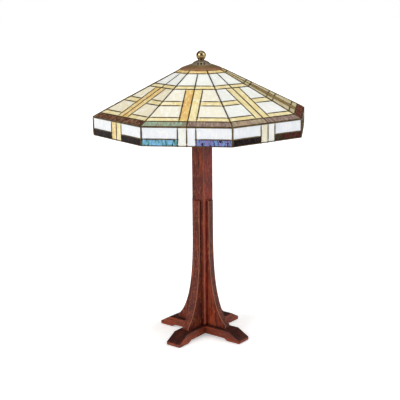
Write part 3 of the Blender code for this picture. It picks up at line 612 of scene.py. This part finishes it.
# For each side, counted anticlockwise from the front: the band's two halves and the skirt's two low strips
BANDS = (
    (SAGE, MAUVE), (OLIVE_MAUVE, MAUVE), (RUSSET, RUSSET), (MAUVE, SAGE),
    (MAROON, MAROON), (SAGE, OLIVE_MAUVE), (MAUVE, MAROON), (MAROON, MAROON),
)
LOW_STRIPS = (
    (SKY, HEATHER), (EBONY, OXBLOOD), (OXBLOOD, EBONY), (HEATHER, LAGOON),
    (EBONY, EBONY), (LAGOON, SKY), (OXBLOOD, HEATHER), (EBONY, EBONY),
)
STRIPS = (
    (DEEP_AMBER, PALE_AMBER), (PALE_AMBER, PALE_AMBER), (DEEP_AMBER, AMBER), (AMBER, PALE_AMBER),
    (PALE_AMBER, DEEP_AMBER), (AMBER, AMBER), (PALE_AMBER, AMBER), (AMBER, AMBER),
)
SKIRT_MIDDLES = (
    (COOL_CREAM, SKIRT_WHITE), (IVORY, COOL_CREAM), (AMBER, IVORY), (PALE_AMBER, SKIRT_WHITE),
    (IVORY, PALE_AMBER), (PALE_AMBER, IVORY), (IVORY, AMBER), (AMBER, PALE_AMBER),
)
CREAMS = (CREAM, COOL_CREAM, HONEY_CREAM, CREAM, WARM_CREAM, CREAM, WARM_CREAM, WARM_CREAM)
OPAL, STREAKY = 0, 1


def cone_panes(side):
    """The pieces of one side of the cone: low row, high row, left line, right line, tints and glass."""
    cream = CREAMS[side]
    high_cream = cream if cream == HONEY_CREAM else COOL_CREAM
    band = BANDS[side]
    strips = STRIPS[side]
    panes = [
        (RIM_RADIUS, BAND_TOP, -2, 0, band[0], STREAKY),
        (RIM_RADIUS, BAND_TOP, 0, 2, band[1], STREAKY),
        (BAND_TOP, STRIP_TOP, -1, 0, strips[0], OPAL),
        (BAND_TOP, STRIP_TOP, 0, 1, strips[1], OPAL),
        (HIGH_CREAM_TOP, CONE_TOP_RADIUS + 3.2 * MM, -2, 2, AMBER, OPAL),
    ]
    for low, high, tints, inner in (
        (BAND_TOP, LOW_AMBER_TOP, PALE_AMBER, 1), (LOW_AMBER_TOP, LOW_CREAM_TOP, cream, 1),
        (LOW_CREAM_TOP, MIDDLE_AMBER_TOP, PALE_AMBER, 1), (MIDDLE_AMBER_TOP, STRIP_TOP, cream, 1),
        (STRIP_TOP, HIGH_AMBER_TOP, PALE_AMBER, 0), (HIGH_AMBER_TOP, HIGH_CREAM_TOP, high_cream, 0),
    ):
        panes.append((low, high, -2, -inner, tints, OPAL))
        panes.append((low, high, inner, 2, tints, OPAL))
    return [(row_along(low), row_along(high), *rest) for low, high, *rest in panes]


def skirt_panes(side):
    """The pieces of one side of the skirt, given as in cone_panes, but measured down from the shoulder."""
    low, row = SHOULDER_Z - RIM_Z, SHOULDER_Z - SKIRT_ROW_Z
    middles, strips = SKIRT_MIDDLES[side], LOW_STRIPS[side]
    return [
        (0.0, row, -2, -1, SKIRT_WHITE, OPAL), (0.0, row, 1, 2, SKIRT_WHITE, OPAL),
        (row, low, -2, -1, strips[0], STREAKY), (row, low, 1, 2, strips[1], STREAKY),
        (0.0, low, -1, 0, middles[0], OPAL), (0.0, low, 0, 1, middles[1], OPAL),
    ]


def edge_gap(at_edge):
    """How far a piece of glass stays back from a line, at the shade's own edges and elsewhere."""
    return EDGE_HEART if at_edge else HEART / 2


def put_pane(batch, side, part, pane):
    """One piece of glass: a flat grid between two rows and two lines, drawn in from the cames round it.
    Its outer face leans by a random fraction of a degree and swells slightly, as rolled sheet does."""
    low, high, left, right, tints, glass = pane
    cells = 6
    full = SHOULDER_Z - RIM_Z if part == "skirt" else row_along(CONE_TOP_RADIUS)
    start = low + edge_gap(low == 0.0)
    end = high - edge_gap(high >= full - 4 * MM)
    u = np.linspace(0, 1, cells)[None, :]
    v = np.linspace(0, 1, cells)[:, None]
    along = start + (end - start) * v + 0 * u

    def between(depth):
        left_edge = line_across(part, left, along, depth) + edge_gap(left == -2)
        right_edge = line_across(part, right, along, depth) - edge_gap(right == 2)
        return left_edge + (right_edge - left_edge) * u

    across = between(GLASS_DEPTH)
    swell = rng.uniform(-0.12, 0.22) * MM * (1 - (2 * u - 1) ** 2) * (1 - (2 * v - 1) ** 2)
    lean = rng.uniform(-0.16, 0.16) * MM * (2 * u - 1) + rng.uniform(-0.12, 0.12) * MM * (2 * v - 1)
    outer = on_side(side, part, across, along, GLASS_DEPTH + 0.1 * MM - swell + lean)
    back = GLASS_DEPTH + GLASS_THICKNESS
    inner = on_side(side, part, between(back), along, back)
    shape = cells * cells
    rim = np.concatenate([
        np.arange(cells), np.arange(1, cells) * cells + cells - 1,
        (cells - 1) * cells + np.arange(cells - 2, -1, -1), np.arange(cells - 2, 0, -1) * cells,
    ])
    walls = np.stack((rim, np.roll(rim, -1), np.roll(rim, -1) + shape, rim + shape), axis=1)
    faces = np.concatenate((grid_faces(cells, cells), grid_faces(cells, cells, start=shape), walls))
    turn = rng.uniform(0, 2 * math.pi)
    if glass == STREAKY or abs(left - right) == 1:
        turn = rng.uniform(-0.15, 0.15)
    plan = np.stack((across * math.cos(turn) - along * math.sin(turn),
                     across * math.sin(turn) + along * math.cos(turn), 0 * across), axis=-1)
    plan = plan + rng.uniform(-1, 1, 3)
    places = np.concatenate((plan.reshape(-1, 3), plan.reshape(-1, 3) + [0, 0, GLASS_THICKNESS]))
    shades = {"tint_" + key: np.array(linear(code)) for key, code in zip("abc", tints)}
    batch.put(np.concatenate((outer.reshape(-1, 3), inner.reshape(-1, 3))), faces, slot=glass,
              sheet_place=places, **shades)


def put_bar(batch, side, part, start, end, width=CAME_WIDTH, rise=CAME_RISE):
    """A came between two points of a side, given as across and along, on its outer and inner faces. Its
    path is the straight line between them, and a small ellipse is carried along it."""
    length = math.dist(start, end)
    count = max(4, int(length / (6 * MM)))
    t = np.linspace(0, 1, count)
    across = start[0] + (end[0] - start[0]) * t
    along = start[1] + (end[1] - start[1]) * t
    normal = side_normal(side, part)
    for depth, facing in ((GLASS_DEPTH, 1), (GLASS_DEPTH + GLASS_THICKNESS, -1)):
        path = on_side(side, part, across, along, depth)
        batch.put(*rod_along(path, normal * facing, hand_laid(count, width / 2), hand_laid(count, rise)))


def put_joint(batch, side, part, across, along):
    """A small dome of solder where cames meet: its height falls as a cosine from the middle."""
    rings, spokes = 4, 10
    reach = rng.uniform(1.9, 2.5) * MM
    rise = CAME_RISE * rng.uniform(1.12, 1.3)
    fall = np.linspace(0, 1, rings)[:, None]
    angle = np.arange(spokes)[None, :] * 2 * math.pi / spokes
    wobble = 1 + 0.1 * np.sin(2 * angle + rng.uniform(0, 6))
    x = across + reach * fall * wobble * np.cos(angle)
    y = along + reach * fall * wobble * np.sin(angle)
    top = rise * np.cos(fall * math.pi / 2) + 0 * angle
    for base, sign in ((GLASS_DEPTH, -1), (GLASS_DEPTH + GLASS_THICKNESS, 1)):
        dome = on_side(side, part, x, y, base + sign * top)
        foot = on_side(side, part, x[::-1], y[::-1], base - sign * 0.4 * MM)
        points = np.concatenate((dome, foot))
        batch.put(points, grid_faces(2 * rings, spokes, closed_columns=True))


def cone_bars():
    """Start and end line and row of every came of one side of the cone."""
    rows = [(row_along(r), ((-2, 2),)) for r in (BAND_TOP, STRIP_TOP, HIGH_AMBER_TOP, HIGH_CREAM_TOP)]
    rows += [
        (row_along(r), ((-2, -1), (1, 2))) for r in (LOW_AMBER_TOP, LOW_CREAM_TOP, MIDDLE_AMBER_TOP)
    ]
    uprights = [(0, 0.0, row_along(HIGH_CREAM_TOP))]
    uprights += [(line, row_along(BAND_TOP), row_along(STRIP_TOP)) for line in (-1, 1)]
    return rows, uprights


def skirt_bars():
    """Start and end line and row of every came of one side of the skirt."""
    full, row = SHOULDER_Z - RIM_Z, SHOULDER_Z - SKIRT_ROW_Z
    return [(row, ((-2, -1), (1, 2)))], [(line, 0.0, full) for line in (-1, 0, 1)]


def make_side(side, part, panes, glasses):
    """All the pieces of glass of one side, in place of its single sheet."""
    glass = Batch()
    for pane in panes:
        put_pane(glass, side, part, pane)
    node = f"{part}_pane_{side + 1}"
    piece = glass.piece(f"{part}_glass_{side + 1}", "shade", glasses, node, merge=False)
    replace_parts(piece, node)


def make_cames(part, bars, material):
    """The thin cames between the pieces of glass all round the shade, and a solder joint where they meet.
    Joints at a corner or an edge stand a little way in, so that the heavy came there covers them."""
    cames, joints = Batch(), Batch()
    rows, uprights = bars
    for side in range(SIDES):
        for along, runs in rows:
            for left, right in runs:
                ends = [float(line_across(part, line, np.array(along))) for line in (left, right)]
                put_bar(cames, side, part, (ends[0], along), (ends[1], along))
                for line, across in zip((left, right), ends):
                    inset = CORNER_INSET * np.sign(line) if abs(line) == 2 else 0
                    put_joint(joints, side, part, across - inset, along)
        for line, start, end in uprights:
            across = float(line_across(part, line, np.array(0.0)))
            put_bar(cames, side, part, (across, start), (across, end))
            for along in (start, end):
                inset = {0.0: EDGE_INSET, SHOULDER_Z - RIM_Z: -EDGE_INSET}.get(along, 0.0)
                put_joint(joints, side, part, across, along + inset)
            if line == 0:
                for along, runs in rows:
                    if runs[0] == (-2, 2) and start < along < end:
                        put_joint(joints, side, part, across, along)
    lines = cames.piece(part + "_came_lines", "shade", [material], part + "_leading")
    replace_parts(lines, part + "_leading")
    joints.piece(part + "_solder_joints", "shade", [material], part + "_leading")


def corner_direction(side):
    """The level direction from the axis to the corner on the right of a side."""
    turn = SHADE_TURN + (side + 0.5) * 2 * HALF_SIDE
    return np.array([math.sin(turn), -math.cos(turn), 0.0])


def octagon_ring(steps):
    """Points of an octagon of corner radius 1, with so many steps to a side, and their directions."""
    corners = np.array([corner_direction(side) for side in range(SIDES)])
    t = np.linspace(0, 1, steps, endpoint=False)[None, :, None]
    ring = (corners[:, None, :] * (1 - t) + np.roll(corners, -1, axis=0)[:, None, :] * t).reshape(-1, 3)
    return ring, ring / np.linalg.norm(ring, axis=1, keepdims=True)


def make_edge_cames(material):
    """The heavy cames: up the eight ridges, down the skirt's corners, round the shoulder, the rim and the
    hole under the cap. Each is an oval bar as deep as the glass and its cames, so the panes meet in it,
    and its path is a straight line along the ridge or round the octagon."""
    bars = Batch()
    up = np.array([0.0, 0.0, 1.0])
    slope = CONE_HEIGHT / (RIM_RADIUS - CONE_TOP_RADIUS)
    sink = GLASS_DEPTH + GLASS_THICKNESS / 2
    for side in range(SIDES):
        out = corner_direction(side)
        radius = np.linspace(RIM_RADIUS, CONE_TOP_RADIUS + 1 * MM, 44)
        height = SHOULDER_Z + (RIM_RADIUS - radius) * slope
        normal = (out * slope + up) / math.hypot(1, slope)
        path = radius[:, None] * out + height[:, None] * up - sink * normal
        bars.put(*rod_along(path, normal, hand_laid(44, 1.5 * MM, 0.1), hand_laid(44, 3.1 * MM, 0.05)))
        low = np.linspace(RIM_Z + 0.4 * MM, SHOULDER_Z, 12)
        path = (RIM_RADIUS - sink) * out + low[:, None] * up
        bars.put(*rod_along(path, out, hand_laid(12, 1.9 * MM, 0.08), hand_laid(12, 3.1 * MM, 0.05)))
    ring, away = octagon_ring(16)
    count = len(ring)
    for radius, height, facing, width, rise in (
        (RIM_RADIUS - 1.9 * MM, SHOULDER_Z - 2.0 * MM, away + up, 1.5 * MM, 3.1 * MM),
        (RIM_RADIUS - 2.9 * MM, RIM_Z + 1.3 * MM, away, 1.3 * MM, 3.0 * MM),
        (CONE_TOP_RADIUS + 1.6 * MM, SHOULDER_Z + CONE_HEIGHT - 3.6 * MM, up, 2.2 * MM, 2.7 * MM),
    ):
        facing = facing / np.linalg.norm(facing, axis=1, keepdims=True) if facing.ndim == 2 else facing
        path = ring * radius + height * up
        bars.put(*rod_along(path, facing, np.full(count, width), np.full(count, rise), closed=True))
    bars.piece("edge_cames", "shade", [material], "cone_leading")


# Turned pieces and chains


def make_knob(material):
    """Ball knob: a circular arc for the ball, a short collar and a blind hole underneath, turned round Z."""
    low, high = (corner.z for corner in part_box("ball_knob"))
    radius, collar, bore, bore_depth = 10.5 * MM, 6.2 * MM, 3.4 * MM, 6.6 * MM
    centre = high - radius
    start = math.degrees(math.asin(collar / radius))
    ball = arc((0, centre), radius, 0, 180 - start, 28)
    ball[0, 0] = 0
    profile = np.concatenate((
        ball,
        [(collar + 0.5 * MM, ball[-1, 1] - 0.3 * MM), (collar + 0.6 * MM, low + 0.5 * MM)],
        [(collar + 0.2 * MM, low), (bore, low), (bore, low + bore_depth), (0, low + bore_depth)],
    ))
    batch = Batch()
    batch.put(*turned_surface(profile, 56))
    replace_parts(batch.piece("ball_knob_turned", "knob", [material], "ball_knob", 35), "ball_knob")


def laid_over(points, side):
    """Turns a surface from the Z axis to a socket's axis, along plus or minus X."""
    axis_z = (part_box("cluster_body")[0].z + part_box("cluster_body")[1].z) / 2
    return np.stack((points[..., 2] * side, points[..., 0] * side, axis_z + points[..., 1]), axis=-1)


def make_bulb(number, side, glass, tin):
    """Frosted envelope and rolled screw base, turned round the socket's axis. The envelope is a circular
    arc at its tip that eases into the neck as t squared times (3 - 2t), and the thread is a sine wave."""
    low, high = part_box(f"bulb_glass_{number}")
    tip = max(abs(low.x), abs(high.x))
    neck_end = min(abs(low.x), abs(high.x))
    radius, neck_radius, wall = 30.0 * MM, 12.0 * MM, 1.0 * MM
    head = arc((0, tip - radius), radius, 0, 118, 26)
    t = np.linspace(0, 1, 12)[1:]
    start = head[-1]
    stop = np.array([neck_radius, neck_end + 12 * MM])
    ease = t * t * (3 - 2 * t)
    neck = np.stack((start[0] + (stop[0] - start[0]) * ease, start[1] + (stop[1] - start[1]) * t), axis=1)
    outside = np.concatenate((head, neck, [(neck_radius, neck_end)]))
    inside = outside[::-1] - np.array([wall, 0])
    inside[:, 0] = np.maximum(inside[:, 0], 0)
    inside[-1] = (0, tip - wall)
    envelope = Batch()
    points, faces = turned_surface(np.concatenate((outside, inside)), 56)
    envelope.put(laid_over(points, side), faces)
    piece = envelope.piece(f"bulb_envelope_{number}", f"bulb_{number}", [glass], f"bulb_glass_{number}")
    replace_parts(piece, f"bulb_glass_{number}")

    low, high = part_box(f"bulb_base_{number}")
    start = min(abs(low.x), abs(high.x))
    end = max(abs(low.x), abs(high.x))
    along = np.linspace(start + 6 * MM, end - 2 * MM, 60)
    pitch = 3.6 * MM
    thread = 12.6 * MM + 0.5 * MM * np.sin(2 * math.pi * (along - start) / pitch)
    cup = 12.3 * MM
    profile = np.concatenate((
        [(0, start), (3.6 * MM, start), (4 * MM, start + 0.4 * MM), (4.2 * MM, start + 1.5 * MM)],
        [(11.2 * MM, start + 5 * MM)], np.stack((thread, along), axis=1),
        [(13.0 * MM, end), (cup, end), (cup, end - 7 * MM), (0, end - 7 * MM)],
    ))
    base = Batch()
    points, faces = turned_surface(profile, 40)
    base.put(laid_over(points, side), faces)
    piece = base.piece(f"bulb_base_{number}_rolled", f"bulb_{number}", [tin], f"bulb_base_{number}")
    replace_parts(piece, f"bulb_base_{number}")


def make_bead_chain(number, material):
    """A pull chain: small round beads on a wire, 3.2 mm apart, down to a turned ball with a neck. Beads,
    wire and ball are arcs and lines turned round the chain's own axis."""
    low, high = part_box(f"pull_chain_{number}")
    x, y = (low.x + high.x) / 2, (low.y + high.y) / 2
    ball = 4.4 * MM
    batch = Batch()
    middle = low.z + ball
    bead, pitch = 1.15 * MM, 3.2 * MM
    heights = np.arange(middle + ball + 2.6 * MM, high.z - bead, pitch)
    for height in heights:
        around = arc((0, height), bead, 0, 180, 7)
        around[[0, -1], 0] = 0
        points, faces = turned_surface(around, 10)
        batch.put(points + [x, y, 0], grid_faces(7, 10, closed_columns=True))
    wire = np.array([(0, high.z), (0.42 * MM, high.z), (0.42 * MM, middle), (0, middle)])
    points, faces = turned_surface(wire, 8)
    batch.put(points + [x, y, 0], faces)
    drop = arc((0, middle), ball, 14, 180, 16)
    top = middle + ball
    neck = [(0, top + 1.8 * MM), (1.3 * MM, top + 1.6 * MM), (1.5 * MM, top + 0.4 * MM)]
    profile = np.concatenate((neck, drop))
    profile[-1, 0] = 0
    points, _ = turned_surface(profile, 24)
    batch.put(points + [x, y, 0], grid_faces(len(profile), 24, closed_columns=True))
    piece = batch.piece(f"pull_chain_{number}_beads", f"chain_{number}", [material], f"pull_chain_{number}")
    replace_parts(piece, f"pull_chain_{number}")


# Setting


def make_floor():
    """A pale seamless floor."""
    half = 60.0
    mesh = bpy.data.meshes.new("studio_floor")
    corners = np.array([(-half, -half, 0), (half, -half, 0), (half, half, 0), (-half, half, 0)])
    mesh.from_pydata(corners - [0, 0, 0.2 * MM], [], [(0, 1, 2, 3)])
    material, tree = new_material("matt_white_paper")
    where = add(tree, "TexCoord", out="Object")
    fibres = add(tree, "TexNoise", {"Vector": where, "Scale": scale_for(30), "Detail": 2.0, "Roughness": 0.5})
    colour = add(tree, "ValToRGB", {"Fac": fibres, "stops": [(0.3, "#f6f6f6"), (0.7, "#fbfbfb")]})
    seen = add(tree, "LightPath", out="Is Camera Ray")
    lift = add(tree, "MapRange", {"Value": seen, "To Max": 0.42})
    paper = add(tree, "BsdfPrincipled", {
        "Base Color": colour, "Roughness": 0.9, "Emission Color": "#ffffff", "Emission Strength": lift,
    })
    add(tree, "OutputMaterial", {"Surface": paper})
    mesh.materials.append(material)
    floor = bpy.data.objects.new("studio_floor", mesh)
    bpy.context.scene.collection.objects.link(floor)


def aimed(place, target):
    """A rotation that points an object's minus Z axis from place to target."""
    direction = np.array(target, float) - np.array(place, float)
    yaw = math.atan2(direction[1], direction[0]) - math.pi / 2
    pitch = math.atan2(direction[2], math.hypot(direction[0], direction[1]))
    return (math.pi / 2 + pitch, 0, yaw)


def from_camera_side(right, near, up):
    """A place given as seen by the camera: to the right of the lamp, nearer than it, and up."""
    turn = math.radians(CAMERA_TURN_DEG)
    return (
        right * math.cos(turn) + near * math.sin(turn),
        right * math.sin(turn) - near * math.cos(turn),
        up,
    )


def make_light():
    """A white room that shows dimly in gloss, and three wide soft lights."""
    world = bpy.data.worlds.new("studio")
    bpy.context.scene.world = world
    world.use_nodes = True
    tree = world.node_tree
    tree.nodes.clear()
    mirrored = add(tree, "LightPath", out="Is Glossy Ray")
    level = add(tree, "MapRange", {"Value": mirrored, "To Min": 0.25, "To Max": 0.07})
    room = add(tree, "Background", {"Color": "#ffffff", "Strength": level})
    paper = add(tree, "Background", {"Color": "#ffffff", "Strength": 1.0})
    seen = add(tree, "LightPath", out="Is Camera Ray")
    both = add(tree, "MixShader", {"Fac": seen, 1: room, 2: paper})
    add(tree, "OutputWorld", {"Surface": both})

    for name, place, strength, width_deg, colour in (
        ("left_key", from_camera_side(-1.5, 1.3, 0.9), 1.75, 35, (1.0, 0.98, 0.96)),
        ("right_fill", from_camera_side(1.8, 0.55, 0.95), 1.4, 50, (0.98, 0.99, 1.0)),
        ("overhead", from_camera_side(0.1, 0.2, 2.0), 0.85, 60, (1.0, 1.0, 1.0)),
    ):
        data = bpy.data.lights.new(name, "SUN")
        data.energy = strength
        data.angle = math.radians(width_deg)
        data.color = colour
        light = bpy.data.objects.new(name, data)
        bpy.context.scene.collection.objects.link(light)
        light.rotation_euler = aimed(place, (0, 0, 0))
    bpy.context.scene.view_settings.view_transform = "Standard"


def make_camera():
    """A long lens a little above the lamp, turned with the frame's own named angles."""
    data = bpy.data.cameras.new("camera")
    data.lens = LENS
    data.sensor_width = SENSOR
    data.clip_end = 20
    camera = bpy.data.objects.new("camera", data)
    bpy.context.scene.collection.objects.link(camera)
    camera.matrix_world = (
        Matrix.Translation(CAMERA_PLACE)
        @ Matrix.Rotation(math.radians(CAMERA_TURN_DEG), 4, "Z")
        @ Matrix.Rotation(math.radians(90 - CAMERA_PITCH_DEG), 4, "X")
        @ Matrix.Rotation(math.radians(-CAMERA_ROLL_DEG), 4, "Z")
    )
    bpy.context.scene.camera = camera


def make_base():
    """The oak pieces. Each has its grain along its own length and its own part of the board."""
    for node, grain, shift, shape in (
        ("foot_beam_lower", 0, (0.2, 0.1, 0.3), "foot"), ("foot_beam_upper", 1, (0.5, 0.3, 0.1), "foot"),
        ("centre_post", 2, (0.1, 0.4, 0.2), "post"),
        ("corbel_1", 2, (0.7, 0.1, 0.0), "corbel_x"), ("corbel_2", 2, (0.2, 0.6, 0.1), "corbel_y"),
        ("corbel_3", 2, (0.4, 0.3, 0.6), "corbel_x"), ("corbel_4", 2, (0.9, 0.2, 0.4), "corbel_y"),
    ):
        finished_copy(node, "base", oak(f"stained_oak_{node}", grain, shift, shape))


def make_metalwork():
    """The hardware inside, the cap, the knob, the bulbs and the pull chains."""
    brass = antique_brass("antique_lacquered_brass", "#b08c50", "#6e5230", 0.22)
    dull = antique_brass("unpolished_brass", "#4a3820", "#2c2014", 0.4)
    bright = antique_brass("polished_antique_brass", "#bda67a", "#86704a", 0.16)
    zinc = plated("zinc_plated_steel", "#8c8f94", "#b4b6b8", 0.34)
    tin = plated("bare_aluminium_thread", "#a8a7a2", "#cfcdc6", 0.3)
    black = phenolic()
    felt = pressed_felt()
    for body, nodes, material in (
        ("base", ("post_plate", "pipe_locknut", "cluster_body", "socket_cap_1", "socket_cap_2",
                  "socket_shell_1", "socket_shell_2", "chain_guide_1", "chain_guide_2"), brass),
        ("base", ("seat_nut",), dull),
        ("shade_seat", ("seat_washer",), dull),
        ("base", ("lamp_pipe", "base_washer", "base_nut", "corbel_screw_1", "corbel_screw_2",
                  "corbel_screw_3", "corbel_screw_4", "spindle"), zinc),
        ("base", ("socket_interior_1", "socket_interior_2", "cord_bushing"), black),
        ("base", ("felt_disc_1", "felt_disc_2", "felt_disc_3", "felt_disc_4"), felt),
        ("shade", ("vented_cap",), bronzed_cap()),
    ):
        for node in nodes:
            finished_copy(node, body, material)
    make_knob(bright)
    frosted = frosted_envelope()
    for number, side in ((1, 1), (2, -1)):
        make_bulb(number, side, frosted, tin)
        make_bead_chain(number, brass)


def make_shade():
    """The glass and the leading of the cone and the skirt."""
    opal = sheet_glass("rolled_opalescent_glass", 0.18, 0.22, 9, 22, 0.6)
    streaky = sheet_glass("streaky_antique_glass", 0.14, 0.1, 7, 11, 0.35)
    lead = patinated_lead()
    for side in range(SIDES):
        make_side(side, "cone", cone_panes(side), [opal, streaky])
        make_side(side, "skirt", skirt_panes(side), [opal, streaky])
    make_cames("cone", cone_bars(), lead)
    make_cames("skirt", skirt_bars(), lead)
    make_edge_cames(lead)


make_camera()
make_light()
make_floor()
make_base()
make_metalwork()
make_shade()
